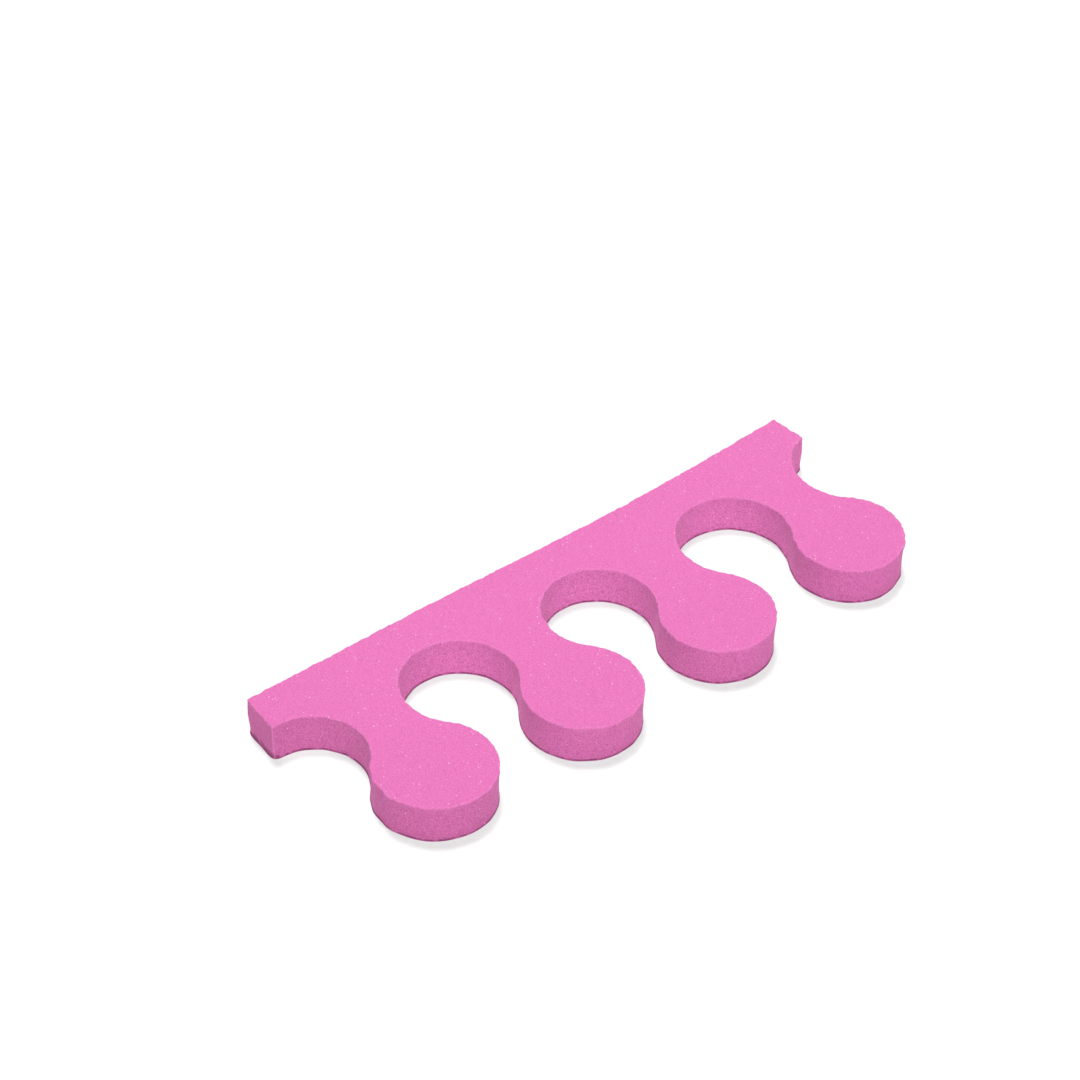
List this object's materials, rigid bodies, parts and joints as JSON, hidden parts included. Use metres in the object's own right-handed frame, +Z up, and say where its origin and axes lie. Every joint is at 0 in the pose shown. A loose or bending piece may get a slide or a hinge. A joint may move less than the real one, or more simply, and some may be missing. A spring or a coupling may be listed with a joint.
{
  "type": "toe separator",
  "caption": "Pink foam toe separator: a flat comb stamped from one foam sheet, with round-headed fingers on narrow waists, round toe gaps between them and half gaps at both ends.",
  "frame": {"origin": "middle of the footprint, on the surface that the separator lies on", "axes": "+X along the spine, with the narrower horn at +X; +Y from the fingertips to the back edge; +Z up, through the sheet's thickness"},
  "size_m": [0.1006, 0.037, 0.006],
  "materials": {
    "pink_foam": "soft matt fine-celled foam, with an open cut face round the edge"
  },
  "bodies": {
    "root": {"toe_separator": "pink_foam"}
  },
  "joints": []
}
